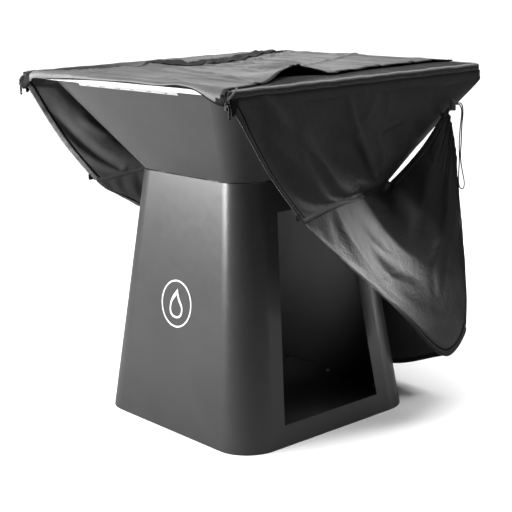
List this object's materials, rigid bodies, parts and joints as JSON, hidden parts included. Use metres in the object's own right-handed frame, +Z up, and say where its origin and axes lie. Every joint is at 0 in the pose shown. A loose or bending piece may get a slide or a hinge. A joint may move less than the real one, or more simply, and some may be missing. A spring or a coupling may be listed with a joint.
{
  "type": "wood-fired plancha with weather cover",
  "caption": "Square steel fire bowl and plancha plate on a tapered log-store pedestal, under a tailored fabric cover that is half drawn off.",
  "frame": {"origin": "middle of the pedestal's square footprint, on the floor", "axes": "+Z up, -Y towards the emblem (front), +X towards the log store opening"},
  "size_m": [0.872, 0.8235, 0.881],
  "materials": {
    "black_powder_coat": "fine satin black powder coat",
    "plate_steel": "bright rolled steel",
    "grate_iron": "dark iron bars",
    "zinc_fasteners": "zinc plated",
    "white_enamel": "white enamel",
    "label_film": "white printed film",
    "cover_fabric": "coated black polyester with a slight sheen",
    "piping": "black piping",
    "zip_tape": "black woven tape",
    "slider_metal": "black zip slider",
    "eyelet_metal": "black eyelet",
    "lock_plastic": "grey cord lock",
    "spring_steel": "wire spring",
    "cord": "black braided cord"
  },
  "bodies": {
    "stand": {"pedestal_shell": "black_powder_coat", "floor_rails": "black_powder_coat", "store_floor": "black_powder_coat", "floor_bolts": "zinc_fasteners", "floor_nuts": "zinc_fasteners", "top_deck": "black_powder_coat", "emblem": "white_enamel", "fire_bowl": "black_powder_coat", "bowl_bolts": "zinc_fasteners", "bowl_nuts": "zinc_fasteners", "rim_label": "label_film"},
    "fire_grate": {"fire_grate": "grate_iron"},
    "plancha": {"plancha_plate": "plate_steel", "plate_lugs": "plate_steel", "grate_tabs": "plate_steel", "cooking_grate": "grate_iron"},
    "puller_right": {"zip_puller_right": "slider_metal"},
    "puller_left": {"zip_puller_left": "slider_metal"},
    "cord_button": {"cord_lock_button": "lock_plastic"},
    "cover": {"cord_lock_body": "lock_plastic", "cord_lock_spring": "spring_steel", "cover_front_flap": "cover_fabric", "cover_left_lower": "cover_fabric", "cover_left_upper": "cover_fabric", "cover_rear_lower": "cover_fabric", "cover_rear_upper": "cover_fabric", "cover_right_lower": "cover_fabric", "cover_right_upper": "cover_fabric", "cover_top": "cover_fabric", "drawcord_loop": "cord", "flap_tape_left": "zip_tape", "flap_tape_right": "zip_tape", "hem_eyelet": "eyelet_metal", "neck_tab_left": "zip_tape", "neck_tab_right": "zip_tape", "piping_left": "piping", "piping_rear": "piping", "piping_right": "piping", "zip_slider_left": "slider_metal", "zip_slider_right": "slider_metal", "zip_tape_left": "zip_tape", "zip_tape_right": "zip_tape"}
  },
  "joints": [
    {"name": "plancha_lift", "type": "slide", "parent": "stand", "child": "plancha", "axis": [0, 0, 1], "range_m": [0, 0.02]},
    {"name": "cover_lift", "type": "slide", "parent": "plancha", "child": "cover", "axis": [0, 0, 1], "range_m": [0, 0.02]},
    {"name": "fire_grate_lift", "type": "slide", "parent": "stand", "child": "fire_grate", "axis": [0, 0, 1], "range_m": [0, 0.12]},
    {"name": "puller_right_swing", "type": "hinge", "parent": "cover", "child": "puller_right", "pos_m": [0.4102, -0.407, 0.847], "axis": [0, -1, 0], "range_deg": [0, 120]},
    {"name": "puller_left_swing", "type": "hinge", "parent": "cover", "child": "puller_left", "pos_m": [-0.4102, -0.407, 0.847], "axis": [0, 1, 0], "range_deg": [0, 120]},
    {"name": "cord_lock_press", "type": "slide", "parent": "cover", "child": "cord_button", "axis": [0, 0, -1], "range_m": [0, 0.003], "stiffness_N_per_m": 400, "springref_m": -0.004, "deforming": ["cord_lock_spring"]}
  ]
}
